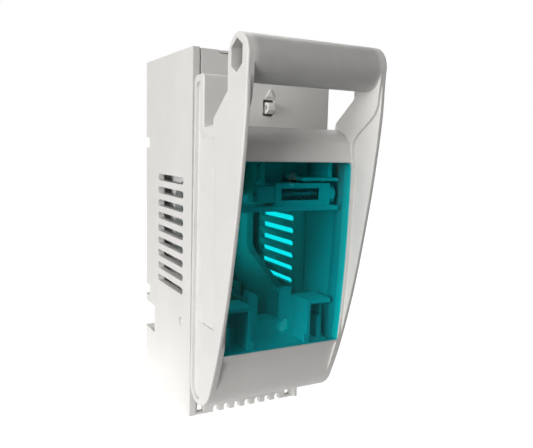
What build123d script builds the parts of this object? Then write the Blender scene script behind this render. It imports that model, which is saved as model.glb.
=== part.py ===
from build123d import *
import os
from math import cos, pi, sin

# Single-pole fuse switch disconnector for a size NH00 fuse link, all sizes in millimetres.
# Frame: origin at the centre of the back mounting face, +X to the right, +Y into the
# mounting panel, +Z up. The front of the device faces -Y.

# ---- driving dimensions -------------------------------------------------------------
BASE_H = 150.0          # height of the base
BASE_W = 55.6           # width of the base
BASE_D = 62.5           # depth of the base, back face to front rim
WALL = 2.8              # side walls of the base
BACK_T = 3.0            # back wall of the base
LID_W = 55.8            # width of the lid
ARM_T = 2.6             # lid side plates, which run up into the handle arms
SKIN = 2.2              # lid front walls

FUSE_Z = -8.5           # centre of the fuse link
BLADE_Z = 31.75         # fuse blade centre, above and below the fuse centre
JAW_HALF_Z = 8.0        # half length of a contact jaw along the blade
BAR_FRONT = 24.5        # front face of the copper bars, measured from the back face
BAR_T = 3.0             # copper bar thickness
BAR_HALF_W = 11.0       # copper bar half width
PLATFORM = BAR_FRONT - BAR_T    # height of the moulded platforms under the bars
LINE_TERM_Z = 62.0      # line terminal screw
LOAD_TERM_Z = -64.5     # load terminal screw

HINGE_D = 8.0           # hinge axis, in front of the base rim
HINGE_Z = -58.5
PIN_R = 2.0             # hinge pin radius
EAR_T = 3.6             # thickness of the base's hinge ears
RUN_FIT = 0.05          # radial running clearance of pins and shafts

SLOT_COUNT = 9          # ventilation slots in each side wall
SLOT_TOP_Z = 23.5
SLOT_PITCH = 5.8
SLOT_H = 2.94
SLOT_NEAR, SLOT_FAR = 9.7, 42.9     # slot ends, behind the base rim

GRIP_D, GRIP_Z, GRIP_R = 41.2, 66.3, 8.1    # handle bar
PANEL_D = 11.7          # front face of the lid's upper panel

BASE_HALF = BASE_W / 2
BASE_IN = BASE_HALF - WALL
LID_HALF = LID_W / 2
LID_IN = LID_HALF - ARM_T
LINE_JAW_Z = FUSE_Z + BLADE_Z
LOAD_JAW_Z = FUSE_Z - BLADE_Z

os.makedirs("parts", exist_ok=True)


def front(d):
    """y of a point d in front of the base rim (negative d is behind it)."""
    return -BASE_D - d


def side(d, z):
    """A point of a side profile, sketched on Plane.YZ."""
    return (front(d), z)


def facing(d):
    """Plane parallel to the front, d in front of the base rim, drawn in X and Z."""
    return Plane.XZ.offset(BASE_D + d)


def box_between(x0, x1, d0, d1, z0, z1, mode=Mode.ADD):
    """Box from corner to corner: X, distance in front of the rim, Z."""
    with Locations(((x0 + x1) / 2, front((d0 + d1) / 2), (z0 + z1) / 2)):
        Box(abs(x1 - x0), abs(d1 - d0), abs(z1 - z0), mode=mode)


def finish(part, name):
    """Label a finished piece and write its STEP file."""
    part.label = name
    export_step(part, f"parts/{name}.step")


def slot_heights():
    return [SLOT_TOP_Z - SLOT_PITCH * i - SLOT_H / 2 for i in range(SLOT_COUNT)]


# ======================================================================================
# BASE
# ======================================================================================
# Cross grooves in the back: (lowest z, highest z, depth). They run the full width.
BACK_GROOVES = [(35.0, 40.0, 6.1), (-36.5, -31.5, 6.2), (-52.7, -40.0, 14.2)]
GROOVE_WALL = 2.2
FIX_HOLE_Z = [6.5, -23.5]       # two panel fixing holes on the centre line
FIX_HOLE_R = 3.25
NUT_AF = 13.0                   # M8 hexagon, across flats
NUT_H = 6.5
BOSS = 18.6                     # square boss round each captive nut
BACK = -BASE_D                  # the back face, as a distance in front of the rim
CORNER_CUT_D, CORNER_CUT_Z = 12.0, -64.5    # clearance cut in the right wall's lower corner

with BuildPart() as base_housing:
    box_between(-BASE_HALF, BASE_HALF, BACK, 0, -BASE_H / 2, BASE_H / 2)
    fillet(base_housing.edges().filter_by(Axis.Z).group_by(Axis.Y)[-1], radius=1.2)
    # the open well, with both cable ends open in front of the back wall
    box_between(-BASE_IN, BASE_IN, BACK + BACK_T, 1, -BASE_H / 2 - 1, BASE_H / 2 + 1, Mode.SUBTRACT)
    # shelves that close the rear of each cable end
    for z0, z1 in [(BASE_H / 2 - 2.2, BASE_H / 2), (-BASE_H / 2, -BASE_H / 2 + 2.2)]:
        box_between(-BASE_IN, BASE_IN, BACK + BACK_T, BACK + PLATFORM, z0, z1)
    # platforms that carry the copper bars, on two side ribs each
    for z0, z1 in [(LINE_JAW_Z - 9.5, BASE_H / 2 - 2.2), (-BASE_H / 2 + 2.2, LOAD_JAW_Z + 9.5)]:
        box_between(-14, 14, BACK + PLATFORM - 2.5, BACK + PLATFORM, z0, z1)
        for x in (-13, 13):
            box_between(x - 1, x + 1, BACK + BACK_T, BACK + PLATFORM - 2.5, z0, z1)
    for z in (LINE_TERM_Z, LOAD_TERM_Z):
        box_between(-BOSS / 2, BOSS / 2, BACK + BACK_T, BACK + PLATFORM, z - 9, z + 9)
    for z in (LINE_JAW_Z + 12, LOAD_JAW_Z - 12):
        box_between(-5, 5, BACK + PLATFORM - 5, BACK + PLATFORM, z - 5, z + 5)
    # walls round the back grooves, then the grooves themselves
    for z0, z1, depth in BACK_GROOVES:
        box_between(-BASE_IN, BASE_IN, BACK + BACK_T, BACK + depth + GROOVE_WALL,
                    z0 - GROOVE_WALL, z1 + GROOVE_WALL)
    for z0, z1, depth in BACK_GROOVES:
        box_between(-BASE_HALF - 1, BASE_HALF + 1, BACK - 1, BACK + depth, z0, z1, Mode.SUBTRACT)
    # seats for the captive nuts, with room for the screw ends
    for z in (LINE_TERM_Z, LOAD_TERM_Z):
        with BuildSketch(Plane.XZ.offset(PLATFORM)):
            with Locations((0, z)):
                RegularPolygon(radius=(NUT_AF / 2 + 0.15), side_count=6, major_radius=False)
        extrude(amount=-(NUT_H + 0.2), mode=Mode.SUBTRACT)
        with BuildSketch(Plane.XZ.offset(PLATFORM)):
            with Locations((0, z)):
                Circle(4.6)
        extrude(amount=-14.5, mode=Mode.SUBTRACT)
    # pilot holes for the jaw screws
    with BuildSketch(Plane.XZ.offset(PLATFORM)):
        with Locations((0, LINE_JAW_Z + 12), (0, LOAD_JAW_Z - 12)):
            Circle(2.05)
    extrude(amount=-4.2, mode=Mode.SUBTRACT)
    # panel fixing holes
    with BuildSketch(Plane.XZ):
        with Locations(*[(0, z) for z in FIX_HOLE_Z]):
            Circle(FIX_HOLE_R)
    extrude(amount=BACK_T, mode=Mode.SUBTRACT)
    # ventilation slots through both side walls
    with BuildSketch(Plane.YZ):
        for z in slot_heights():
            with Locations(side(-(SLOT_NEAR + SLOT_FAR) / 2, z)):
                SlotOverall(SLOT_FAR - SLOT_NEAR, SLOT_H)
    extrude(amount=BASE_HALF + 1, both=True, mode=Mode.SUBTRACT)
    # shallow ejector dimples outside both walls
    with BuildSketch(Plane.YZ.offset(-BASE_HALF - 1)):
        with Locations(side(-11.5, -37.4)):
            Circle(2.0)
    extrude(amount=1.8, mode=Mode.SUBTRACT)
    with BuildSketch(Plane.YZ.offset(BASE_HALF - 0.8)):
        with Locations(side(-11.5, -37.4)):
            Circle(2.0)
    extrude(amount=1.8, mode=Mode.SUBTRACT)
    # hinge ears, inside the lid's side plates
    for x0, x1 in [(-BASE_IN, -BASE_IN + EAR_T), (BASE_IN - EAR_T, BASE_IN)]:
        with BuildSketch(Plane.YZ.offset(x0)):
            with Locations(side((HINGE_D - 14) / 2, HINGE_Z)):
                Rectangle(HINGE_D + 14, 8.4)
            with Locations(side(HINGE_D, HINGE_Z)):
                Circle(4.2)
                Circle(PIN_R + RUN_FIT, mode=Mode.SUBTRACT)
        extrude(amount=x1 - x0)
    # the right wall stops short at its lower front corner
    box_between(BASE_IN, BASE_HALF + 1, -CORNER_CUT_D, 1, -BASE_H / 2 - 1, CORNER_CUT_Z, Mode.SUBTRACT)
finish(base_housing.part, "base_housing")

# Inner barriers on both sides of the fuse: low beside the fuse body, high beside the jaws.
BARRIER_X, BARRIER_T = 17.0, 3.4
BARRIER_OUTLINE = [
    (BACK + BACK_T, -56.5), (-4.5, -56.5), (-4.5, -28.5), (-38.0, -14.6), (-41.5, -11.0),
    (-41.5, 14.0), (-38.0, 17.6), (-9.0, 30.0), (-9.0, 43.0), (BACK + BACK_T, 43.0),
]


def barrier(x0):
    """One barrier, cut back over the grooves of the back wall."""
    with BuildPart() as plate:
        with BuildSketch(Plane.YZ.offset(x0)):
            with BuildLine():
                Polyline(*[side(d, z) for d, z in BARRIER_OUTLINE], close=True)
            make_face()
        extrude(amount=BARRIER_T)
        for z0, z1, depth in BACK_GROOVES:
            box_between(x0 - 1, x0 + BARRIER_T + 1, BACK, BACK + depth + GROOVE_WALL,
                        z0 - GROOVE_WALL, z1 + GROOVE_WALL, Mode.SUBTRACT)
        fillet(plate.edges().filter_by(Axis.X).group_by(Axis.Y)[0], radius=1.2)
    return plate.part


finish(barrier(-BARRIER_X - BARRIER_T), "left_barrier")
finish(barrier(BARRIER_X), "right_barrier")

# Copper bars: jaw end to terminal end.
BAR_Y = -BAR_FRONT
BAR_SPANS = {"line_busbar": (LINE_JAW_Z - JAW_HALF_Z, 71.0, LINE_TERM_Z, LINE_JAW_Z + 12),
             "load_busbar": (-72.2, LOAD_JAW_Z + JAW_HALF_Z, LOAD_TERM_Z, LOAD_JAW_Z - 12)}
for bar_name, (z0, z1, term_z, screw_z) in BAR_SPANS.items():
    with BuildPart() as busbar:
        with BuildSketch(Plane.XZ.offset(PLATFORM)):
            with Locations((0, (z0 + z1) / 2)):
                Rectangle(2 * BAR_HALF_W, z1 - z0)
            with Locations((0, term_z)):
                Circle(4.3, mode=Mode.SUBTRACT)
            with Locations((0, screw_z)):
                Circle(2.05, mode=Mode.SUBTRACT)
        extrude(amount=BAR_T)
        chamfer(busbar.edges().filter_by(Axis.Y).group_by(Axis.X)[0], length=1.5)
        chamfer(busbar.edges().filter_by(Axis.Y).group_by(Axis.X)[-1], length=1.5)
    finish(busbar.part, bar_name)

# Contact jaws: a U of copper whose two fingers grip the 6 mm fuse blade and flare at the tip.
JAW_T = 1.5
JAW_GRIP = 2.85         # half gap at the contact line
JAW_FOOT = 9.5          # half width of the foot
FINGER = [(3.4, 0.0), (3.4, 8.0), (JAW_GRIP, 14.0), (JAW_GRIP, 16.0), (5.6, 24.5)]


def jaw(jaw_z, screw_side):
    """Jaw at height jaw_z, with its foot drawn out towards screw_side (+1 up, -1 down)."""
    with BuildPart() as piece:
        foot_low = jaw_z - (JAW_HALF_Z if screw_side > 0 else 15.5)
        foot_high = jaw_z + (15.5 if screw_side > 0 else JAW_HALF_Z)
        with BuildSketch(Plane.XZ.offset(BAR_FRONT)):
            with Locations((0, (foot_low + foot_high) / 2)):
                Rectangle(2 * JAW_FOOT, foot_high - foot_low)
            with Locations((0, jaw_z + 12 * screw_side)):
                Circle(2.05, mode=Mode.SUBTRACT)
        extrude(amount=JAW_T)
        for hand in (-1, 1):
            inner = [(hand * x, BAR_Y - JAW_T / 2 - h) for x, h in FINGER]
            outer = [(hand * (x + JAW_T), BAR_Y - JAW_T / 2 - h) for x, h in reversed(FINGER)]
            with BuildSketch(Plane.XY.offset(jaw_z - JAW_HALF_Z)):
                with BuildLine():
                    Polyline(*inner, *outer, close=True)
                make_face()
            extrude(amount=2 * JAW_HALF_Z)
    return piece.part


finish(jaw(LINE_JAW_Z, 1), "line_jaw")
finish(jaw(LOAD_JAW_Z, -1), "load_jaw")

# Bowed steel leaf springs that press the fingers together, one outside each finger.
LEAF_T = 0.6
LEAF = [(5.3, 0.0), (6.3, 6.5), (5.9, 11.0), (4.75, 15.2), (5.6, 18.5)]


def leaf_springs(jaw_z):
    with BuildPart() as pair:
        for hand in (-1, 1):
            inner = [(hand * x, BAR_Y - JAW_T - h) for x, h in LEAF]
            outer = [(hand * (x + LEAF_T), BAR_Y - JAW_T - h) for x, h in reversed(LEAF)]
            with BuildSketch(Plane.XY.offset(jaw_z - 5)):
                with BuildLine():
                    Polyline(*inner, *outer, close=True)
                make_face()
            extrude(amount=10)
    return pair.part


finish(leaf_springs(LINE_JAW_Z), "line_jaw_springs")
finish(leaf_springs(LOAD_JAW_Z), "load_jaw_springs")

# Steel arc plates in front of each jaw's outer end, notched for the fuse blade.
ARC_PLATES = 6
ARC_PITCH = 2.9
ARC_FIRST = 32.0        # first plate, from the back face
ARC_HALF_W = 15.6       # the plates reach the cheeks
ARC_CHEEK_T = 1.4       # the cheeks reach the barriers


def arc_plates(blade_end_z, outward):
    """Stack of notched plates; the notch opens towards the fuse."""
    z0, z1 = sorted((blade_end_z - 3 * outward, blade_end_z + 8.5 * outward))
    with BuildPart() as stack:
        for i in range(ARC_PLATES):
            with BuildSketch(Plane.XZ.offset(ARC_FIRST + ARC_PITCH * i)):
                with Locations((0, (z0 + z1) / 2)):
                    Rectangle(2 * ARC_HALF_W, z1 - z0)
                with Locations((0, blade_end_z)):
                    Rectangle(18, 7.6, mode=Mode.SUBTRACT)
                    with Locations((0, 3.8 * outward)):
                        Circle(2.6, mode=Mode.SUBTRACT)
            extrude(amount=1.0)
    return stack.part


def arc_cheeks(blade_end_z, outward):
    """Two fibre side plates that hold a stack between the barriers."""
    z0, z1 = sorted((blade_end_z - 2.2 * outward, blade_end_z + 9.5 * outward))
    y_back, y_front = ARC_FIRST - 2, ARC_FIRST + ARC_PITCH * (ARC_PLATES - 1) + 3
    with BuildPart() as cheeks:
        for hand in (-1, 1):
            with Locations((hand * (ARC_HALF_W + ARC_CHEEK_T / 2), -(y_back + y_front) / 2, (z0 + z1) / 2)):
                Box(ARC_CHEEK_T, y_front - y_back, z1 - z0)
    return cheeks.part


LINE_BLADE_END = LINE_JAW_Z + JAW_HALF_Z
LOAD_BLADE_END = LOAD_JAW_Z - JAW_HALF_Z
finish(arc_plates(LINE_BLADE_END, 1), "line_arc_plates")
finish(arc_plates(LOAD_BLADE_END, -1), "load_arc_plates")
finish(arc_cheeks(LINE_BLADE_END, 1), "line_arc_cheeks")
finish(arc_cheeks(LOAD_BLADE_END, -1), "load_arc_cheeks")

# Terminal hardware, one set at each end.
WASHER_R, WASHER_T = 7.5, 1.6
HEAD_H = 5.3

with BuildPart() as terminal_screws:
    for z in (LINE_TERM_Z, LOAD_TERM_Z):
        with BuildSketch(Plane.XZ.offset(BAR_FRONT + WASHER_T)):
            with Locations((0, z)):
                RegularPolygon(radius=NUT_AF / 2, side_count=6, major_radius=False)
        extrude(amount=HEAD_H)
        with BuildSketch(Plane.XZ.offset(BAR_FRONT + WASHER_T)):
            with Locations((0, z)):
                Circle(3.9)
        extrude(amount=-(WASHER_T + BAR_T + NUT_H + 4))
        # cross slot in the head
        with Locations((0, -(BAR_FRONT + WASHER_T + HEAD_H), z)):
            Box(9, 3.2, 1.4, mode=Mode.SUBTRACT)
            Box(1.4, 3.2, 9, mode=Mode.SUBTRACT)
finish(terminal_screws.part, "terminal_screws")

with BuildPart() as terminal_washers:
    for z in (LINE_TERM_Z, LOAD_TERM_Z):
        with BuildSketch(Plane.XZ.offset(BAR_FRONT)):
            with Locations((0, z)):
                Circle(WASHER_R)
                Circle(4.2, mode=Mode.SUBTRACT)
        extrude(amount=WASHER_T)
finish(terminal_washers.part, "terminal_washers")

with BuildPart() as terminal_nuts:
    for z in (LINE_TERM_Z, LOAD_TERM_Z):
        with BuildSketch(Plane.XZ.offset(PLATFORM)):
            with Locations((0, z)):
                RegularPolygon(radius=NUT_AF / 2, side_count=6, major_radius=False)
                Circle(3.95, mode=Mode.SUBTRACT)
        extrude(amount=-NUT_H)
finish(terminal_nuts.part, "terminal_nuts")

with BuildPart() as jaw_screws:
    for z in (LINE_JAW_Z + 12, LOAD_JAW_Z - 12):
        with BuildSketch(Plane.XZ.offset(BAR_FRONT + JAW_T)):
            with Locations((0, z)):
                Circle(3.4)
        extrude(amount=2.6)
        fillet(jaw_screws.edges().filter_by(GeomType.CIRCLE).group_by(Axis.Y)[0].filter_by_position(
            Axis.Z, z - 4, z + 4), radius=1.0)
        with BuildSketch(Plane.XZ.offset(BAR_FRONT + JAW_T)):
            with Locations((0, z)):
                Circle(1.95)
        extrude(amount=-(JAW_T + BAR_T + 3.5))
        with Locations((0, -(BAR_FRONT + JAW_T + 2.6), z)):
            Box(4.6, 2.4, 0.9, mode=Mode.SUBTRACT)
            Box(0.9, 2.4, 4.6, mode=Mode.SUBTRACT)
finish(jaw_screws.part, "jaw_screws")

# Snap-in covers over the terminals.
COVER_T = 2.2
COVER_HALF = 24.4
with BuildPart() as line_cover:
    box_between(-COVER_HALF, COVER_HALF, -COVER_T, 0, 45.0, 74.6)
    # skirts that slide down inside the side walls
    for x0, x1 in [(-COVER_HALF, -COVER_HALF + 1.6), (COVER_HALF - 1.6, COVER_HALF)]:
        box_between(x0, x1, -16, -COVER_T, 48.0, 72.0)
    # snap nubs on the skirts bear on the side walls
    for x0, x1 in [(-BASE_IN, -COVER_HALF), (COVER_HALF, BASE_IN)]:
        box_between(x0, x1, -10, -7, 58.0, 62.0)
    # stiffening ribs behind the plate
    for z in (50.0, 60.0, 70.0):
        box_between(-COVER_HALF + 1.6, COVER_HALF - 1.6, -4.4, -COVER_T, z - 0.7, z + 0.7)
    box_between(-3.6, 2.9, -4.5, -COVER_T, 48.4, 56.0, Mode.SUBTRACT)
    # release notch in the top edge, beside the raised finger of the snap
    with BuildSketch(facing(0)):
        with Locations((-13.2, 75.2)):
            RectangleRounded(7.0, 4.0, 0.6)
    extrude(amount=-COVER_T, mode=Mode.SUBTRACT)
    # seat of the sealing lug
    box_between(-4.1, 3.4, -COVER_T, 0.8, 47.2, 57.2)
    box_between(-2.0, 1.3, -COVER_T - 1, 1.4, 49.9, 54.5, Mode.SUBTRACT)
finish(line_cover.part, "line_cover")

with BuildPart() as cover_snap:
    # spring finger that shows in the cover's notch
    with BuildSketch(Plane.YZ.offset(-16.0)):
        with BuildLine():
            Polyline(side(-9.0, 64.0), side(-7.4, 64.0), side(-4.8, 71.4), side(-3.0, 73.4),
                     side(0.0, 73.5), side(0.0, 74.5), side(-5.6, 74.0), close=True)
        make_face()
    extrude(amount=5.2)
    box_between(-16.0, -10.8, -9.0, -COVER_T, 61.6, 64.0)
finish(cover_snap.part, "cover_snap")

with BuildPart() as sealing_lug:
    # upright tab with a wire hole, standing out through the lid's small window
    with BuildSketch(Plane.YZ.offset(-1.85)):
        with BuildLine():
            Polyline(side(-COVER_T, 50.05), side(12.6, 50.05), side(14.4, 51.2), side(14.4, 53.2),
                     side(12.6, 54.35), side(-COVER_T, 54.35), close=True)
        make_face()
        with Locations(side(12.3, 52.2)):
            Circle(1.15, mode=Mode.SUBTRACT)
    extrude(amount=3.0)
    fillet(sealing_lug.edges().filter_by(Axis.X).group_by(Axis.Y)[0], radius=0.6)
    # flange behind the cover
    box_between(-3.4, 2.7, -3.8, -COVER_T, 48.6, 55.8)
finish(sealing_lug.part, "sealing_lug")

COMB_PITCH = 4.9
COMB_FIRST = -16.0
with BuildPart() as load_cover:
    with BuildSketch(facing(0)):
        with BuildLine():
            Polyline((-24.6, -74.9), (23.6, -74.9), (23.6, -64.4), (20.6, -64.4), (20.6, -49.0),
                     (-20.6, -49.0), (-20.6, -64.4), (-24.6, -64.4), close=True)
        make_face()
        # latching holes
        with Locations((-24.2 + 1.2, -72.1), (18.7, -72.1)):
            Rectangle(2.9, 3.4, mode=Mode.SUBTRACT)
        # comb of knock-out notches along the lower edge
        for i in range(7):
            with Locations((COMB_FIRST + COMB_PITCH * i, -74.9)):
                SlotOverall(5.4, 2.5, rotation=90, mode=Mode.SUBTRACT)
    extrude(amount=-COVER_T)
    # three shallow half-round marks above the comb
    with BuildSketch(facing(0)):
        for i in range(3):
            with Locations((-8.0 + 3.4 * i, -68.6)):
                Circle(1.3)
                Circle(0.8, mode=Mode.SUBTRACT)
                with Locations((0, 1.0)):
                    Rectangle(3.0, 2.0, mode=Mode.SUBTRACT)
    extrude(amount=-0.5, mode=Mode.SUBTRACT)
    # rounded bead at the right end
    with BuildSketch(Plane.XY.offset(-74.9)):
        with Locations((22.5, front(0))):
            Circle(1.1)
    extrude(amount=9.5)
    # legs behind the cover, and the nub that bears on the left wall
    for x in (-18.5, 18.5):
        box_between(x - 0.8, x + 0.8, -14, -COVER_T, -63.5, -57.5)
    box_between(-BASE_IN, -24.6, -COVER_T, -0.6, -73.5, -69.5)
finish(load_cover.part, "load_cover")

# ======================================================================================
# LID
# ======================================================================================
SILL_Z = -40.6          # lower edge of the window opening
HEAD_Z = 31.8           # upper edge of the window opening
WINDOW_TOP = (33.3, HEAD_Z)
WINDOW_MID = (31.9, -4.4)
WINDOW_LOW = (28.2, SILL_Z)
HINGE_R = 7.5           # lid end radius round the hinge axis
APRON_LOW = (21.4, -56.3)   # where the lid's front turns into its rounded lower end
TOP_Z, TOP_R = 63.8, 2.0    # top of the lid's panel, and the rounding of its front edge
NOTCH_Z = 44.0          # floor of the notch behind each arm
BULGE_Z = 42.3          # underside of the bulge's flat part
ARM_FRONT = [
    (48.7, 58.0), (48.5, 52.0), (47.9, 45.5), (46.1, 32.6), (43.8, 19.2), (40.1, 1.6), (35.6, -17.0),
    (30.0, -35.1), (26.6, -44.5),
]
ARM_ROUND = 0.6         # rounding of the arms' outer edges
ARM_STEP = 1.1          # the arms are this much thinner in front of the window


def arc_point(centre, radius, degrees):
    """Point of a side profile on a circle; 0 degrees points forward, 90 up."""
    angle = degrees * pi / 180
    return side(centre[0] + radius * cos(angle), centre[1] + radius * sin(angle))


def arm_outline():
    """Outline of a side plate with its handle arm, for an open sketch on Plane.YZ."""
    hinge = (HINGE_D, HINGE_Z)
    grip = (GRIP_D, GRIP_Z)
    with BuildLine() as line:
        Polyline(side(HINGE_D - HINGE_R, HINGE_Z), side(1.9, 60.8))
        RadiusArc(side(1.9, 60.8), side(4.9, TOP_Z), -3.0)
        Line(side(4.9, TOP_Z), side(PANEL_D - TOP_R, TOP_Z))
        RadiusArc(side(PANEL_D - TOP_R, TOP_Z), side(PANEL_D, TOP_Z - TOP_R), -TOP_R)
        Polyline(side(PANEL_D, TOP_Z - TOP_R), side(PANEL_D, NOTCH_Z), side(20.8, NOTCH_Z), side(21.3, 47.0),
                 side(33.2, 56.0), side(GRIP_D - GRIP_R, 60.0), side(GRIP_D - GRIP_R, GRIP_Z))
        ThreePointArc(side(GRIP_D - GRIP_R, GRIP_Z), arc_point(grip, GRIP_R, 90), arc_point(grip, GRIP_R, 0))
        Spline(arc_point(grip, GRIP_R, 0), *[side(d, z) for d, z in ARM_FRONT], side(*APRON_LOW))
        TangentArc(side(HINGE_D, HINGE_Z - HINGE_R), side(*APRON_LOW), tangent=(-1, 0))
        ThreePointArc(side(HINGE_D, HINGE_Z - HINGE_R), arc_point(hinge, HINGE_R, 225),
                      side(HINGE_D - HINGE_R, HINGE_Z))
    return line.line


HEX = [(0, 5.6), (4.4, 3.1), (4.4, -3.1), (0, -5.6), (-4.4, -3.1), (-4.4, 3.1)]
GROOVE_DEPTH = 1.3      # relief of the side plates' outer faces
LABEL = (8.9, 24.0, -31.4, 39.8)    # label recess: nearest and furthest d, lowest and highest z
LABEL_T = 0.3
LABEL_RECESS = 0.5

with BuildPart() as lid_frame:
    # side plates with the arms
    with BuildSketch(Plane.YZ.offset(LID_IN)):
        add(arm_outline())
        make_face()
    extrude(amount=ARM_T)
    fillet(lid_frame.edges().filter_by_position(Axis.X, LID_HALF - 0.01, LID_HALF + 0.01), radius=ARM_ROUND)
    mirror(about=Plane.YZ)
    # handle bar
    with BuildSketch(Plane.YZ):
        with Locations(side(GRIP_D, GRIP_Z)):
            Circle(GRIP_R)
    extrude(amount=LID_IN + 0.5, both=True)
    # upper panel and the lid's top wall
    box_between(-LID_IN, LID_IN, PANEL_D - SKIN, PANEL_D, BULGE_Z, TOP_Z - TOP_R)
    with BuildSketch(Plane.YZ):
        with BuildLine():
            Line(side(2.2, TOP_Z), side(PANEL_D - TOP_R, TOP_Z))
            RadiusArc(side(PANEL_D - TOP_R, TOP_Z), side(PANEL_D, TOP_Z - TOP_R), -TOP_R)
            Polyline(side(PANEL_D, TOP_Z - TOP_R), side(2.2, TOP_Z - TOP_R), side(2.2, TOP_Z))
        make_face()
    extrude(amount=LID_IN, both=True)
    # bulge over the window's upper edge
    with BuildSketch(Plane.YZ):
        with BuildLine():
            Line(side(PANEL_D - SKIN, 44.5), side(21.5, 44.5))
            ThreePointArc(side(21.5, 44.5), side(26.9, 42.9), side(31.4, 39.2))
            Polyline(side(31.4, 39.2), side(*WINDOW_TOP), side(WINDOW_TOP[0] - SKIN, HEAD_Z), side(29.0, 38.4))
            ThreePointArc(side(29.0, 38.4), side(25.7, 41.0), side(21.3, BULGE_Z))
            Polyline(side(21.3, BULGE_Z), side(PANEL_D - SKIN, BULGE_Z), side(PANEL_D - SKIN, 44.5))
        make_face()
    extrude(amount=LID_IN, both=True)
    # apron below the window, wrapped round the hinge
    inner_low = (APRON_LOW[0] - SKIN, APRON_LOW[1] + 0.4)
    with BuildSketch(Plane.YZ):
        with BuildLine():
            Polyline(side(HINGE_D, HINGE_Z - HINGE_R + SKIN), side(HINGE_D, HINGE_Z - HINGE_R))
            TangentArc(side(HINGE_D, HINGE_Z - HINGE_R), side(*APRON_LOW), tangent=(-1, 0))
            Polyline(side(*APRON_LOW), side(25.6, -44.0), side(*WINDOW_LOW), side(WINDOW_LOW[0] - SKIN, SILL_Z),
                     side(25.6 - SKIN, -44.0), side(*inner_low))
            TangentArc(side(HINGE_D, HINGE_Z - HINGE_R + SKIN), side(*inner_low), tangent=(-1, 0))
        make_face()
    extrude(amount=LID_IN, both=True)
    # slots in the apron's lip let the base's hinge ears through as the lid opens
    for hand in (-1, 1):
        box_between(hand * (BASE_IN - EAR_T - 0.5), hand * LID_IN, HINGE_D - 1, HINGE_D + 6.6,
                    HINGE_Z - HINGE_R - 1, HINGE_Z - 2.5, Mode.SUBTRACT)
    # hollow handle end
    with BuildSketch(Plane.YZ.offset(-LID_HALF - 1)):
        with BuildLine():
            Polyline(*[side(GRIP_D - 0.6 + d, GRIP_Z + 0.6 + z) for d, z in HEX], close=True)
        make_face()
    extrude(amount=LID_W - 12, mode=Mode.SUBTRACT)
    # small window for the sealing lug
    box_between(-2.85, 2.15, PANEL_D - SKIN - 1, PANEL_D + 1, 49.0, 55.4, Mode.SUBTRACT)
    # plain raised pointer above it
    with BuildSketch(facing(PANEL_D)):
        with BuildLine():
            Polyline((-1.7, 56.4), (1.9, 56.4), (0.1, 59.4), close=True)
        make_face()
    extrude(amount=0.5)
    # the arms are thinner in front of the window, below a curved step
    with BuildSketch(Plane.YZ.offset(LID_IN)):
        with BuildLine():
            Spline(side(33.1, 38.6), side(36.8, 43.1), side(43.7, 47.9), side(47.0, 51.4), side(48.2, 56.7),
                   side(49.8, 63.0))
            Polyline(side(49.8, 63.0), side(58.0, 20.0), side(36.0, -40.0), side(28.9, -40.0), side(30.3, -28.0))
            ThreePointArc(side(30.3, -28.0), side(32.8, -3.5), side(34.0, 31.0))
            Line(side(34.0, 31.0), side(33.1, 38.6))
        make_face()
    arm_step = extrude(amount=ARM_STEP, mode=Mode.SUBTRACT)
    mirror(arm_step, about=Plane.YZ, mode=Mode.SUBTRACT)
    # relief groove down each side plate, wider below the label
    for x_plane in (-LID_HALF - 1, LID_HALF - GROOVE_DEPTH):
        with BuildSketch(Plane.YZ.offset(x_plane)):
            with BuildLine():
                Line(side(4.3, 59.0), side(2.6, HINGE_Z))
                ThreePointArc(side(2.6, HINGE_Z), side(8.0, HINGE_Z - 5.4), side(13.4, HINGE_Z))
                Polyline(side(13.4, HINGE_Z), side(13.4, LABEL[2]), side(8.9, LABEL[2]), side(8.7, 59.0))
                ThreePointArc(side(8.7, 59.0), side(6.5, 61.2), side(4.3, 59.0))
            make_face()
        extrude(amount=1 + GROOVE_DEPTH, mode=Mode.SUBTRACT)
    # recess for the label on the left plate
    with BuildSketch(Plane.YZ.offset(-LID_HALF - 1)):
        with BuildLine():
            Polyline(side(LABEL[0] - 0.5, LABEL[2]), side(LABEL[1], LABEL[2]), side(LABEL[1], LABEL[3]))
            Spline(side(LABEL[1], LABEL[3]), side(16.5, LABEL[3] + 0.5), side(LABEL[0] - 0.5, LABEL[3] + 2.6))
            Line(side(LABEL[0] - 0.5, LABEL[3] + 2.6), side(LABEL[0] - 0.5, LABEL[2]))
        make_face()
    extrude(amount=1 + LABEL_RECESS, mode=Mode.SUBTRACT)
    # hinge holes
    with BuildSketch(Plane.YZ):
        with Locations(side(HINGE_D, HINGE_Z)):
            Circle(PIN_R)
    extrude(amount=LID_HALF - GROOVE_DEPTH - 0.6, both=True, mode=Mode.SUBTRACT)
finish(lid_frame.part, "lid_frame")

with BuildPart() as rating_label:
    with BuildSketch(Plane.YZ.offset(-LID_HALF + LABEL_RECESS - LABEL_T)):
        with Locations(side((LABEL[0] + LABEL[1]) / 2, (LABEL[2] + LABEL[3]) / 2)):
            RectangleRounded(LABEL[1] - LABEL[0] - 0.6, LABEL[3] - LABEL[2] - 0.6, 0.8)
    extrude(amount=LABEL_T)
finish(rating_label.part, "rating_label")

with BuildPart() as hinge_pins:
    with BuildSketch(Plane.YZ.offset(BASE_IN - 4.2)):
        with Locations(side(HINGE_D, HINGE_Z)):
            Circle(PIN_R)
    extrude(amount=LID_HALF - GROOVE_DEPTH - 0.7 - (BASE_IN - 4.2))
    mirror(about=Plane.YZ)
finish(hinge_pins.part, "hinge_pins")

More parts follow.
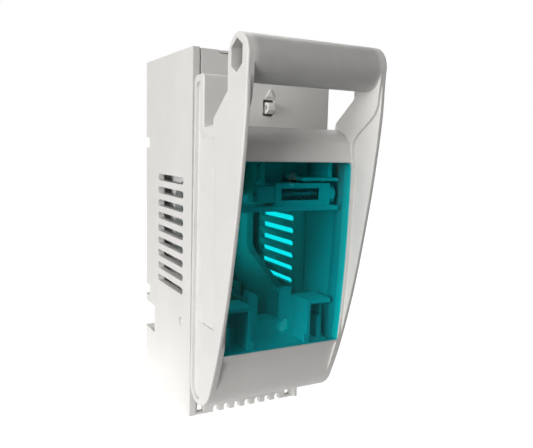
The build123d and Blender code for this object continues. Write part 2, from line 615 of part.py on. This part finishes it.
# Clear window: a bowed sheet with side flanges and two test-probe holes.
WINDOW_T = 2.0
FLANGE_T = 1.6
WINDOW_HALF = LID_IN - 0.2
FLANGE_D = 8.0
with BuildPart() as window:
    with BuildSketch(Plane.YZ):
        with BuildLine():
            ThreePointArc(side(WINDOW_TOP[0] - 0.1, HEAD_Z - 0.2), side(*WINDOW_MID),
                          side(WINDOW_LOW[0], SILL_Z + 0.2))
            Line(side(WINDOW_LOW[0], SILL_Z + 0.2), side(WINDOW_LOW[0] - FLANGE_D, SILL_Z + 0.2))
            ThreePointArc(side(WINDOW_LOW[0] - FLANGE_D, SILL_Z + 0.2),
                          side(WINDOW_MID[0] - FLANGE_D, WINDOW_MID[1]),
                          side(WINDOW_TOP[0] - 0.1 - FLANGE_D, HEAD_Z - 0.2))
            Line(side(WINDOW_TOP[0] - 0.1 - FLANGE_D, HEAD_Z - 0.2), side(WINDOW_TOP[0] - 0.1, HEAD_Z - 0.2))
        make_face()
    extrude(amount=WINDOW_HALF, both=True)
    fillet(window.edges().filter_by(Axis.Y).group_by(Axis.Z)[-1], radius=2.0)
    with BuildSketch(Plane.YZ):
        with BuildLine():
            ThreePointArc(side(WINDOW_TOP[0] - 0.1 - WINDOW_T, HEAD_Z + 1.8),
                          side(WINDOW_MID[0] - WINDOW_T, WINDOW_MID[1]),
                          side(WINDOW_LOW[0] - WINDOW_T, SILL_Z - 1.8))
            Polyline(side(WINDOW_LOW[0] - WINDOW_T, SILL_Z - 1.8), side(10, SILL_Z - 1.8), side(10, HEAD_Z + 1.8),
                     side(WINDOW_TOP[0] - 0.1 - WINDOW_T, HEAD_Z + 1.8))
        make_face()
    extrude(amount=WINDOW_HALF - FLANGE_T, both=True, mode=Mode.SUBTRACT)
    # oval probe holes
    with BuildSketch(facing(25)):
        with Locations((-0.4, 25.4), (-0.4, -31.4)):
            SlotOverall(5.6, 4.4, rotation=90)
    extrude(amount=12, mode=Mode.SUBTRACT)
finish(window.part, "window")

# Upper carrier: shelf, latch housing and ribs behind the window.
CARRIER_HALF = WINDOW_HALF - FLANGE_T - 0.3
CARRIER_WING = 18.0     # behind the window flanges the carriers reach the lid's side plates
SHELF_Z0, SHELF_Z1 = 13.0, 14.7
HOUSE_X0, HOUSE_X1 = -4.4, 19.8
HOUSE_Z1 = 23.5
HOUSE_D0, HOUSE_D1 = 18.0, 27.0
END_WALL = 2.0
CAVITY = (15.5, 22.7, 19.0, 26.0)       # lowest z, highest z, nearest and furthest d
NOSE = (16.0, 22.2, 19.5, 25.5)
GUIDE_R = 0.9
GUIDE_Z = (NOSE[0] + NOSE[1]) / 2
GUIDE_D = (NOSE[2] + NOSE[3]) / 2
with BuildPart() as upper_carrier:
    box_between(-CARRIER_HALF, CARRIER_HALF, 9.5, 28.4, SHELF_Z0, SHELF_Z1)
    box_between(-LID_IN, LID_IN, 9.5, CARRIER_WING, SHELF_Z0, SHELF_Z1)
    box_between(HOUSE_X0, HOUSE_X1, HOUSE_D0, HOUSE_D1, SHELF_Z1 - 0.2, HOUSE_Z1)
    # side webs up to the bulge
    for x0, x1 in [(-CARRIER_HALF, -CARRIER_HALF + 1.6), (CARRIER_HALF - 1.6, CARRIER_HALF)]:
        box_between(x0, x1, 9.5, HOUSE_D0 - 0.3, SHELF_Z1 - 0.2, BULGE_Z)
    # back web, closed down to the shelf behind the latch, with its central post
    box_between(-CARRIER_HALF, CARRIER_HALF, 9.5, 11.2, 30.0, BULGE_Z)
    box_between(0, CARRIER_HALF, 9.5, 11.2, SHELF_Z1 - 0.2, 30.2)
    box_between(-2.2, 5.4, 9.5, 13.4, SHELF_Z1 - 0.2, BULGE_Z)
    # ribs above the latch
    box_between(-19.0, -17.4, 9.5, 25.5, SHELF_Z1 - 0.2, 36.0)
    box_between(7.0, CARRIER_HALF, 9.5, 27.6, 24.3, 25.7)
    box_between(18.9, 20.5, 9.5, 27.0, 25.7, 36.0)
    # cavity of the latch housing: open to the left behind a retaining lip
    box_between(HOUSE_X0 + 1.0, HOUSE_X1 - END_WALL, CAVITY[2], CAVITY[3], CAVITY[0], CAVITY[1], Mode.SUBTRACT)
    box_between(HOUSE_X0 - 1, HOUSE_X0 + 1.2, NOSE[2] - 0.15, NOSE[3] + 0.15,
                NOSE[0] - 0.15, NOSE[1] + 0.15, Mode.SUBTRACT)
    # opening that shows the spring
    box_between(HOUSE_X0 + 2.4, HOUSE_X1 - 4.6, HOUSE_D1 - 3, HOUSE_D1 + 1, 16.9, 21.5, Mode.SUBTRACT)
    with BuildSketch(Plane.YZ.offset(HOUSE_X1 - END_WALL - 1)):
        with Locations(side(GUIDE_D, GUIDE_Z)):
            Circle(GUIDE_R)
    extrude(amount=END_WALL + 2, mode=Mode.SUBTRACT)
finish(upper_carrier.part, "upper_carrier")

# Latch: a nose block on a guide pin, pushed out to the left by a coil spring.
NOSE_LEFT = -11.0
HEAD_R = 4.1            # head of the guide pin
PIN_TIP = -6.0
FLANGE_X0, FLANGE_X1 = HOUSE_X0 + 1.2, HOUSE_X0 + 2.4
with BuildPart() as latch_slider:
    box_between(NOSE_LEFT, FLANGE_X0, NOSE[2], NOSE[3], NOSE[0], NOSE[1])
    fillet(latch_slider.edges().filter_by(Axis.Z).group_by(Axis.X)[0], radius=1.4)
    box_between(FLANGE_X0, FLANGE_X1, CAVITY[2] + 0.2, CAVITY[3] - 0.2, CAVITY[0] + 0.2, CAVITY[1] - 0.2)
    with BuildSketch(Plane.YZ.offset(NOSE_LEFT - 1)):
        with Locations(side(GUIDE_D, GUIDE_Z)):
            Circle(GUIDE_R + RUN_FIT)
    extrude(amount=14, mode=Mode.SUBTRACT)
finish(latch_slider.part, "latch_slider")

with BuildPart() as latch_guide_pin:
    with BuildSketch(Plane.YZ.offset(PIN_TIP)):
        with Locations(side(GUIDE_D, GUIDE_Z)):
            Circle(GUIDE_R)
    extrude(amount=HOUSE_X1 - PIN_TIP + 0.2)
    with BuildSketch(Plane.YZ.offset(HOUSE_X1 + 0.1)):
        with Locations(side(GUIDE_D, GUIDE_Z)):
            Circle(HEAD_R)
    extrude(amount=2.9)
    fillet(latch_guide_pin.edges().filter_by(GeomType.CIRCLE).group_by(Axis.X)[-1], radius=0.4)
finish(latch_guide_pin.part, "latch_guide_pin")

SPRING_R = 1.95
SPRING_WIRE = 0.28
SPRING_X0 = FLANGE_X1 + SPRING_WIRE + 0.02
SPRING_X1 = HOUSE_X1 - END_WALL - SPRING_WIRE - 0.02
SPRING_TURNS = 14
with BuildPart() as latch_spring:
    with BuildLine():
        coil = Helix(pitch=(SPRING_X1 - SPRING_X0) / SPRING_TURNS, height=SPRING_X1 - SPRING_X0,
                     radius=SPRING_R, center=(SPRING_X0, front(GUIDE_D), GUIDE_Z), direction=(1, 0, 0))
    with BuildSketch(Plane(origin=coil @ 0, z_dir=coil % 0)):
        Circle(SPRING_WIRE)
    sweep(path=coil, is_frenet=True)
finish(latch_spring.part, "latch_spring")

# Lower carrier: floor, notched back plate and two open boxes behind the window.
FLOOR_Z0, FLOOR_Z1 = -42.8, -41.2
BOX_IN = 12.4           # inner face of each box
BOX_D0, BOX_D1 = 13.0, 25.0
BOX_TOP = -23.7
with BuildPart() as lower_carrier:
    box_between(-CARRIER_HALF, CARRIER_HALF, 9.5, 23.6, FLOOR_Z0, FLOOR_Z1)
    box_between(-LID_IN, LID_IN, 9.5, CARRIER_WING, FLOOR_Z0, FLOOR_Z1)
    # back plate with the fuse lug's notch and its guide posts
    with BuildSketch(facing(14.0)):
        with BuildLine():
            Polyline((-CARRIER_HALF, FLOOR_Z0), (CARRIER_HALF, FLOOR_Z0), (CARRIER_HALF, -24.4), (13.6, -24.4),
                     (13.6, -24.2), (11.2, -24.2), (11.2, -20.3), (7.0, -20.3), (5.4, -22.2), (5.4, -33.6),
                     (-4.4, -33.6), (-4.4, -22.6), (-6.6, -21.6), (-8.6, -21.6), (-8.6, -26.6),
                     (-CARRIER_HALF, -26.6), close=True)
        make_face()
    extrude(amount=-2.2)
    # deeper cheeks beside the notch guide the lug
    box_between(5.4, 7.0, 4.0, 12.0, -36.0, -22.2)
    box_between(-6.0, -4.4, 4.0, 12.0, -36.0, -22.6)
    box_between(-6.0, 7.0, 4.0, 12.0, -36.0, -33.6)
    for hand in (-1, 1):
        x_in, x_out = hand * BOX_IN, hand * CARRIER_HALF
        box_between(x_in, x_out, BOX_D0, BOX_D1, BOX_TOP - 1.7, BOX_TOP)
        box_between(x_in, x_in + hand * 1.6, BOX_D0, BOX_D1, FLOOR_Z1 - 0.2, BOX_TOP - 0.2)
        box_between(x_out - hand * 1.4, x_out, BOX_D0, BOX_D1 - 6, FLOOR_Z1 - 0.2, BOX_TOP - 0.2)
        # foot and inner key of each box
        box_between(x_in - hand * 1.0, x_in + hand * 1.6, BOX_D1 - 1.8, BOX_D1, FLOOR_Z1 - 0.2, -37.6)
        box_between(hand * 19.6, hand * 21.2, BOX_D0, BOX_D1 - 4, FLOOR_Z1 - 0.2, -32.0)
finish(lower_carrier.part, "lower_carrier")
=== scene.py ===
from math import cos, radians, sin

import bpy
from mathutils import Matrix, Vector


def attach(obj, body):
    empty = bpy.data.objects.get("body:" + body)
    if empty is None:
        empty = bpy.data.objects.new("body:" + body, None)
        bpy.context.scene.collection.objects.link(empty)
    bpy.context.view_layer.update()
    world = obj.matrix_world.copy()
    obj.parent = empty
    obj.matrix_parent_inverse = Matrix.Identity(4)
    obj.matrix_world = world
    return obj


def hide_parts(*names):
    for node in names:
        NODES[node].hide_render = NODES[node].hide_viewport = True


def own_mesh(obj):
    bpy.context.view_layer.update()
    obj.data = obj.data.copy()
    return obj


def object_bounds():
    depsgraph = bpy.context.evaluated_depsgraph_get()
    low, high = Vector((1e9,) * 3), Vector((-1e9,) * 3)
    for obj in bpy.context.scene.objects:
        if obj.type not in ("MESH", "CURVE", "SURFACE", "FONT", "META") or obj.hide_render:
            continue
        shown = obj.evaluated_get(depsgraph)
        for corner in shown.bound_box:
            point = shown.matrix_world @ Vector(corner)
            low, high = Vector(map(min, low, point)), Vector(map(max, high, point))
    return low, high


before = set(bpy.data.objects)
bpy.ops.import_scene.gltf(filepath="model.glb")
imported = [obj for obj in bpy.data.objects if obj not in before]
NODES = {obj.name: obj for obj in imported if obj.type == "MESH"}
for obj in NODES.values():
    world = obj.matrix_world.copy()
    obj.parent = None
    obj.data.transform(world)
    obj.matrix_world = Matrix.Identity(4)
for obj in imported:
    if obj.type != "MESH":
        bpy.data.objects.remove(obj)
cad_low, cad_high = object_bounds()

MM = 0.001


# ---- node helpers -------------------------------------------------------------------
class Mat:
    """A node material being built. Sizes in its textures are per millimetre of the object."""

    def __init__(self, name):
        self.mat = bpy.data.materials.new(name)
        self.mat.use_nodes = True
        self.tree = self.mat.node_tree
        self.tree.nodes.clear()
        self.out = self.node("ShaderNodeOutputMaterial")
        coords = self.node("ShaderNodeTexCoord").outputs["Object"]
        self.mm = self.scaled(coords, (1 / MM,) * 3)

    def node(self, kind, **settings):
        made = self.tree.nodes.new(kind)
        for key, value in settings.items():
            setattr(made, key, value)
        return made

    def link(self, source, target):
        self.tree.links.new(source, target)

    def feed(self, socket, value):
        """Sets a socket to a number or colour, or links it to another socket."""
        if isinstance(value, bpy.types.NodeSocket):
            self.link(value, socket)
        else:
            socket.default_value = value

    def scaled(self, vector, scale, location=(0, 0, 0)):
        """vector times scale, then moved by location."""
        mapping = self.node("ShaderNodeMapping")
        mapping.inputs["Scale"].default_value = scale
        mapping.inputs["Location"].default_value = location
        self.link(vector, mapping.inputs["Vector"])
        return mapping.outputs["Vector"]

    def noise(self, per_mm, detail=2.0, roughness=0.5, stretch=(1, 1, 1), offset=(0, 0, 0)):
        """Soft noise around 0.5. A stretch below 1 along an axis draws it out along that axis."""
        made = self.node("ShaderNodeTexNoise")
        made.inputs["Scale"].default_value = per_mm
        made.inputs["Detail"].default_value = detail
        made.inputs["Roughness"].default_value = roughness
        self.link(self.scaled(self.mm, stretch, offset), made.inputs["Vector"])
        return made.outputs["Fac"]

    def specks(self, per_mm, size):
        """1 in small scattered dots, 0 elsewhere. size is the dot radius as a share of the cell."""
        cells = self.node("ShaderNodeTexVoronoi")
        cells.inputs["Scale"].default_value = per_mm
        self.link(self.mm, cells.inputs["Vector"])
        return self.ranged(cells.outputs["Distance"], size, size * 0.6, 0.0, 1.0)

    def ranged(self, value, low, high, to_low, to_high):
        """value, with low to high stretched to to_low to to_high and held at its ends."""
        made = self.node("ShaderNodeMapRange")
        made.clamp = True
        made.inputs["From Min"].default_value = low
        made.inputs["From Max"].default_value = high
        made.inputs["To Min"].default_value = to_low
        made.inputs["To Max"].default_value = to_high
        self.link(value, made.inputs["Value"])
        return made.outputs["Result"]

    def math(self, operation, a, b=0.0):
        made = self.node("ShaderNodeMath", operation=operation)
        self.feed(made.inputs[0], a)
        self.feed(made.inputs[1], b)
        return made.outputs["Value"]

    def mix(self, factor, a, b):
        made = self.node("ShaderNodeMix", data_type="RGBA")
        self.feed(made.inputs["Factor"], factor)
        self.feed(made.inputs["A"], a)
        self.feed(made.inputs["B"], b)
        return made.outputs["Result"]

    def soft_edges(self, radius_mm):
        """A normal that rounds sharp edges off, and a mask that is high along them, which the materials
        use to paint highlights on edges.
        """
        bevel = self.node("ShaderNodeBevel", samples=4)
        bevel.inputs["Radius"].default_value = radius_mm * MM
        flat = self.node("ShaderNodeNewGeometry").outputs["Normal"]
        dot = self.node("ShaderNodeVectorMath", operation="DOT_PRODUCT")
        self.link(bevel.outputs["Normal"], dot.inputs[0])
        self.link(flat, dot.inputs[1])
        return bevel.outputs["Normal"], self.ranged(dot.outputs["Value"], 1.0, 0.8, 0.0, 1.0)

    def bump(self, height, strength, distance_mm, normal=None):
        made = self.node("ShaderNodeBump")
        made.inputs["Strength"].default_value = strength
        made.inputs["Distance"].default_value = distance_mm * MM
        self.link(height, made.inputs["Height"])
        if normal is not None:
            self.link(normal, made.inputs["Normal"])
        return made.outputs["Normal"]

    def principled(self, **values):
        shader = self.node("ShaderNodeBsdfPrincipled")
        for name, value in values.items():
            self.feed(shader.inputs[name.replace("_", " ")], value)
        return shader.outputs["BSDF"]

    def finish(self, shader):
        self.link(shader, self.out.inputs["Surface"])
        return self.mat


def rgb(r, g, b):
    return (r, g, b, 1.0)


def tinted(colour, factor):
    """The colour made darker or lighter by a factor."""
    return (*[min(1.0, c * factor) for c in colour[:3]], 1.0)


# The handle bar, along X: its axis, radius and half length in millimetres, and how dark the shade
# painted on it makes it.
GRIP_Y, GRIP_Z, GRIP_RADIUS, GRIP_HALF = -103.7, 66.3, 8.1, 25.0
GRIP_SHADE = 0.66


def grip_shade_mask(m):
    """Painted shade on the handle bar: 1 between the arms, slightly patchy, and 0 elsewhere."""
    from_axis = m.node("ShaderNodeVectorMath", operation="LENGTH")
    m.link(m.scaled(m.mm, (0, 1, 1), (0, -GRIP_Y, -GRIP_Z)), from_axis.inputs[0])
    near_axis = m.ranged(from_axis.outputs["Value"], GRIP_RADIUS + 0.4, GRIP_RADIUS + 1.2, 1.0, 0.0)
    along = m.node("ShaderNodeSeparateXYZ")
    m.link(m.mm, along.inputs["Vector"])
    from_middle = m.math("ABSOLUTE", along.outputs["X"])
    between_arms = m.ranged(from_middle, GRIP_HALF - 1.5, GRIP_HALF + 0.5, 1.0, 0.0)
    patchy = m.ranged(m.noise(0.11, 4.0, 0.6, offset=(8, 3, 40)), 0.3, 0.7, 0.8, 1.0)
    return m.math("MULTIPLY", m.math("MULTIPLY", near_axis, between_arms), patchy)


def moulded(name, colour, roughness=0.52, grain=0.35, edge_mm=0.35, specks=0.5, grip=False):
    """Moulded plastic with a fine spark-eroded texture, slight shade drift and a few specks.

    grip paints shade onto the handle bar, making it darker than the rest of the lid.
    """
    m = Mat(name)
    normal, edge_highlight = m.soft_edges(edge_mm)
    drift = m.ranged(m.noise(0.035, 3.0, 0.6), 0.3, 0.7, 0.0, 1.0)
    body = m.mix(drift, tinted(colour, 0.965), tinted(colour, 1.02))
    smudge = m.ranged(m.noise(0.16, 4.0, 0.65, offset=(31, 7, 12)), 0.52, 0.78, 0.0, 0.10)
    body = m.mix(smudge, body, tinted(colour, 0.80))
    dots = m.math("MULTIPLY", m.specks(0.11, 0.028), specks)
    body = m.mix(dots, body, tinted(colour, 0.35))
    # Painted highlight: the colour is lightened along sharp edges.
    body = m.mix(m.math("MULTIPLY", edge_highlight, 0.35), body, tinted(colour, 1.10))
    if grip:
        # Painted shade: the handle bar between the arms is darkened.
        body = m.mix(grip_shade_mask(m), body, tinted(colour, GRIP_SHADE))
    fine = m.noise(3.2, 3.0, 0.65)
    polish = m.noise(0.4, 4.0, 0.6, offset=(3, 50, 9))
    rough = m.ranged(polish, 0.3, 0.7, roughness - 0.05, roughness + 0.06)
    shaded = m.bump(fine, grain, 0.05, normal)
    return m.finish(m.principled(Base_Color=body, Roughness=rough, Normal=shaded,
                                 Specular_IOR_Level=0.42))


def metal(name, colour, roughness, stretch, edge_mm=0.15, tarnish=0.25):
    """Rolled or turned metal: directional fine lines, blotchy tarnish and painted highlights on its
    edges.
    """
    m = Mat(name)
    normal, edge_highlight = m.soft_edges(edge_mm)
    blotch = m.ranged(m.noise(0.25, 4.0, 0.6), 0.35, 0.7, 0.0, tarnish)
    body = m.mix(blotch, colour, tinted(colour, 0.62))
    # Painted highlight: the colour is lightened along sharp edges.
    body = m.mix(m.math("MULTIPLY", edge_highlight, 0.6), body, tinted(colour, 1.15))
    lines = m.noise(6.0, 2.0, 0.5, stretch=stretch)
    rough = m.ranged(lines, 0.3, 0.7, roughness - 0.06, roughness + 0.10)
    shaded = m.bump(lines, 0.15, 0.02, normal)
    return m.finish(m.principled(Base_Color=body, Metallic=1.0, Roughness=rough, Normal=shaded))


def fibre(name):
    """Pressed red-brown fibre board with a felted surface."""
    m = Mat(name)
    normal, edge_highlight = m.soft_edges(0.15)
    felt = m.noise(1.4, 6.0, 0.7, stretch=(1, 0.35, 1))
    share = m.ranged(felt, 0.35, 0.65, 0.0, 1.0)
    body = m.mix(share, rgb(0.24, 0.10, 0.055), rgb(0.36, 0.17, 0.10))
    # Painted highlight: the colour is lightened along sharp edges.
    body = m.mix(m.math("MULTIPLY", edge_highlight, 0.5), body, rgb(0.45, 0.25, 0.16))
    rough = m.ranged(felt, 0.3, 0.7, 0.62, 0.78)
    shaded = m.bump(felt, 0.4, 0.05, normal)
    return m.finish(m.principled(Base_Color=body, Roughness=rough, Normal=shaded))


def label_film(name):
    """Blank film label, a touch glossier than the moulding behind it."""
    m = Mat(name)
    cloud = m.noise(0.09, 3.0, 0.6, offset=(5, 1, 8))
    body = m.mix(m.ranged(cloud, 0.3, 0.7, 0.0, 1.0), rgb(0.80, 0.79, 0.765), rgb(0.84, 0.83, 0.81))
    ripple = m.noise(0.35, 2.0, 0.5)
    rough = m.ranged(ripple, 0.3, 0.7, 0.34, 0.44)
    return m.finish(m.principled(Base_Color=body, Roughness=rough, Normal=m.bump(ripple, 0.12, 0.05)))


# The share of light that one surface of the window passes, by colour: its front, and its side flanges,
# which tint less. The flanges are the faces whose normal is mostly along X.
TEAL = (0.03, 0.838, 0.868)
FLANGE_TEAL = (0.55, 0.98, 0.985)
FLANGE_FROM, FLANGE_TO = 0.7, 0.9
GLOSS_SHARE = 0.45      # how much of the full reflection its outer faces keep
WINDOW_IOR = 1.45


def clear_teal(name):
    """Clear tinted polycarbonate: sight and light pass straight through, tinted, and it has a gloss."""
    m = Mat(name)
    streak = m.ranged(m.noise(0.05, 3.0, 0.55, stretch=(1, 1, 0.4)), 0.3, 0.7, 0.0, 1.0)
    tint = m.mix(streak, tinted(TEAL, 0.97), tinted(TEAL, 1.02))
    facing = m.node("ShaderNodeNewGeometry")
    axes = m.node("ShaderNodeSeparateXYZ")
    m.link(facing.outputs["Normal"], axes.inputs["Vector"])
    flange = m.ranged(m.math("ABSOLUTE", axes.outputs["X"]), FLANGE_FROM, FLANGE_TO, 0.0, 1.0)
    tint = m.mix(flange, tint, rgb(*FLANGE_TEAL))
    clear = m.node("ShaderNodeBsdfTransparent")
    m.link(tint, clear.inputs["Color"])
    gloss = m.node("ShaderNodeBsdfGlossy")
    gloss.inputs["Color"].default_value = rgb(0.9, 0.97, 0.98)
    wave = m.noise(0.12, 2.0, 0.5, offset=(9, 2, 4))
    m.link(m.ranged(wave, 0.3, 0.7, 0.05, 0.12), gloss.inputs["Roughness"])
    m.link(m.bump(wave, 0.08, 0.4), gloss.inputs["Normal"])
    fresnel = m.node("ShaderNodeFresnel")
    fresnel.inputs["IOR"].default_value = WINDOW_IOR
    both = m.node("ShaderNodeMixShader")
    # Sight isn't bent inside the sheet, so its inner faces would mirror too much. They get no gloss.
    outer = m.ranged(facing.outputs["Backfacing"], 0.0, 1.0, GLOSS_SHARE, 0.0)
    m.link(m.math("MULTIPLY", fresnel.outputs["Fac"], outer), both.inputs["Fac"])
    m.link(clear.outputs["BSDF"], both.inputs[1])
    m.link(gloss.outputs["BSDF"], both.inputs[2])
    return m.finish(both.outputs["Shader"])


# ---- materials on the CAD nodes -------------------------------------------------------
SHELL = rgb(0.79, 0.775, 0.75)
INNER = rgb(0.80, 0.795, 0.78)
# Stretch of a metal's fine lines: along Z, along X, or none.
ALONG_Z, ALONG_X, ROUND = (1, 1, 0.06), (0.06, 1, 1), (1, 1, 1)

shell = moulded("shell_plastic", SHELL)
lid_shell = moulded("lid_plastic", SHELL, grip=True)
inner = moulded("inner_plastic", INNER, roughness=0.45, grain=0.22, specks=0.15)
lug = moulded("lug_plastic", rgb(0.86, 0.85, 0.83), roughness=0.38, grain=0.15, edge_mm=0.2,
              specks=0.0)
silvered = metal("silvered_copper", rgb(0.86, 0.84, 0.79), 0.30, ALONG_Z)
zinc = metal("zinc_steel", rgb(0.66, 0.67, 0.68), 0.32, ROUND)
plate_steel = metal("plate_steel", rgb(0.50, 0.50, 0.51), 0.38, ALONG_X, edge_mm=0.1)
spring_steel = metal("spring_steel", rgb(0.70, 0.70, 0.71), 0.20, ROUND, edge_mm=0.05)
pin_steel = metal("pin_steel", rgb(0.74, 0.74, 0.75), 0.18, ROUND, edge_mm=0.1, tarnish=0.1)

FINISHES = {
    shell: ["base_housing", "line_cover", "load_cover", "cover_snap"],
    lid_shell: ["lid_frame"],
    inner: ["left_barrier", "right_barrier", "upper_carrier", "lower_carrier", "latch_slider"],
    lug: ["sealing_lug"],
    silvered: ["line_busbar", "load_busbar", "line_jaw", "load_jaw"],
    zinc: ["terminal_screws", "terminal_washers", "terminal_nuts", "jaw_screws", "hinge_pins"],
    plate_steel: ["line_arc_plates", "load_arc_plates", "line_jaw_springs", "load_jaw_springs"],
    spring_steel: ["latch_spring"],
    pin_steel: ["latch_guide_pin"],
    fibre("pressed_fibre"): ["line_arc_cheeks", "load_arc_cheeks"],
    label_film("label_film"): ["rating_label"],
    clear_teal("clear_teal"): ["window"],
}
for material, names in FINISHES.items():
    for name in names:
        for holder in NODES[name].material_slots:
            holder.material = material

# ---- the latch's coil spring ----------------------------------------------------------
# A rigid spring would pass through the slider. A copy of it with its own mesh is hung on the lid, and
# the original is hidden.
coil = bpy.data.objects.new("latch_spring_coil", NODES["latch_spring"].data.copy())
bpy.context.collection.objects.link(coil)
coil.data.materials.clear()
coil.data.materials.append(spring_steel)
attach(coil, "lid")
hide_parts("latch_spring")
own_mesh(coil)

# ---- floor, light and camera ----------------------------------------------------------
FLOOR_REACH = 6.0       # from the middle to each edge, in metres
FLOOR_GAP = 0.0002      # below the object's lowest point
# Glow of the floor near the object, and the distances from the origin over which it changes, in
# millimetres: for the camera it rises to full white, for the object it falls to nothing.
SHEET_GLOW, SHEET_NEAR_MM, SHEET_FAR_MM = 0.88, 60.0, 170.0
TABLE_GLOW, TABLE_NEAR_MM, TABLE_FAR_MM = 1.05, 70.0, 150.0
floor_mesh = bpy.data.meshes.new("floor")
floor_z = cad_low.z - FLOOR_GAP
corners = [(x * FLOOR_REACH, y * FLOOR_REACH, floor_z) for x, y in ((-1, -1), (1, -1), (1, 1), (-1, 1))]
floor_mesh.from_pydata(corners, [], [(0, 1, 2, 3)])
floor = bpy.data.objects.new("floor", floor_mesh)
bpy.context.collection.objects.link(floor)
pale = Mat("pale_floor")
# The camera sees a white sheet with a faint contact shadow. The object sees a light table that glows
# next to it and is plain grey further out.
reach = pale.node("ShaderNodeVectorMath", operation="LENGTH")
pale.link(pale.mm, reach.inputs[0])
shade = pale.ranged(pale.noise(0.002, 2.0), 0.3, 0.7, 0.0, 1.0)
sheet_colour = pale.mix(shade, rgb(0.28, 0.28, 0.28), rgb(0.30, 0.30, 0.30))
distance = reach.outputs["Value"]
sheet_glow = pale.ranged(distance, SHEET_NEAR_MM, SHEET_FAR_MM, SHEET_GLOW, 1.0)
sheet = pale.principled(Base_Color=sheet_colour, Roughness=0.8, Emission_Color=rgb(1, 1, 1),
                        Emission_Strength=sheet_glow)
table_glow = pale.ranged(distance, TABLE_NEAR_MM, TABLE_FAR_MM, TABLE_GLOW, 0.0)
table = pale.principled(Base_Color=rgb(0.35, 0.35, 0.35), Roughness=0.9, Emission_Color=rgb(1, 1, 1),
                        Emission_Strength=table_glow)
chooser = pale.node("ShaderNodeMixShader")
pale.link(pale.node("ShaderNodeLightPath").outputs["Is Camera Ray"], chooser.inputs["Fac"])
pale.link(table, chooser.inputs[1])
pale.link(sheet, chooser.inputs[2])
floor_mesh.materials.append(pale.finish(chooser.outputs["Shader"]))

# The world is white to the camera and dim to the object.
WORLD_SEEN, WORLD_LIGHT = 1.0, 0.04
world = bpy.data.worlds.new("studio")
world.use_nodes = True
sky = world.node_tree
background = sky.nodes["Background"]
background.inputs["Color"].default_value = rgb(1.0, 1.0, 1.0)
seen = sky.nodes.new("ShaderNodeLightPath")
strength = sky.nodes.new("ShaderNodeMapRange")
strength.inputs["To Min"].default_value = WORLD_LIGHT
strength.inputs["To Max"].default_value = WORLD_SEEN
sky.links.new(seen.outputs["Is Camera Ray"], strength.inputs["Value"])
sky.links.new(strength.outputs["Result"], background.inputs["Strength"])
bpy.context.scene.world = world


LAMPS_AIM = Vector((0, -0.06, 0))       # near the middle of the object
LAMPS_DISTANCE = 1.0


def softbox(name, azimuth, elevation, size, power, colour=(1, 1, 1)):
    """A square area lamp aimed at the object. Azimuth is in degrees from -X towards the front."""
    turn, rise = radians(azimuth), radians(elevation)
    toward = Vector((-cos(turn) * cos(rise), -sin(turn) * cos(rise), sin(rise)))
    lamp = bpy.data.lights.new(name, "AREA")
    lamp.shape = "SQUARE"
    lamp.size = size
    lamp.energy = power
    lamp.color = colour
    holder = bpy.data.objects.new(name, lamp)
    holder.location = LAMPS_AIM + toward * LAMPS_DISTANCE
    holder.rotation_mode = "QUATERNION"
    holder.rotation_quaternion = (-toward).to_track_quat("-Z", "Y")
    bpy.context.collection.objects.link(holder)


softbox("key_left", 21, 4, size=0.6, power=10.4, colour=(1.0, 0.995, 0.985))
softbox("overhead", 60, 55, size=0.5, power=2.4)
softbox("back_left", -12, 5, size=0.5, power=1.2)
softbox("back_high", -120, 50, size=0.5, power=4.0)

# The camera stands where a pinhole camera fitted to the photograph stands, in metres in the row frame.
CAMERA_AT = (-0.1130, -0.28885, 0.0375)
RIGHT, UP, AHEAD = (0.8780, -0.4780, 0.0268), (0.0322, 0.1147, 0.9929), (0.4776, 0.8709, -0.1160)
SENSOR_MM, LENS_MM = 36.0, 40.83
SHIFT_X, SHIFT_Y = -0.0198, -0.0140
NEAREST, FURTHEST = 0.01, 30.0
camera_data = bpy.data.cameras.new("camera")
camera_data.sensor_width = SENSOR_MM
camera_data.lens = LENS_MM
camera_data.shift_x = SHIFT_X
camera_data.shift_y = SHIFT_Y
camera_data.clip_start, camera_data.clip_end = NEAREST, FURTHEST
camera = bpy.data.objects.new("camera", camera_data)
axes = Matrix((RIGHT, UP, [-c for c in AHEAD])).transposed()
camera.rotation_mode = "QUATERNION"
camera.rotation_quaternion = axes.to_quaternion()
camera.location = CAMERA_AT
bpy.context.collection.objects.link(camera)
bpy.context.scene.camera = camera
bpy.context.scene.view_settings.view_transform = "Standard"
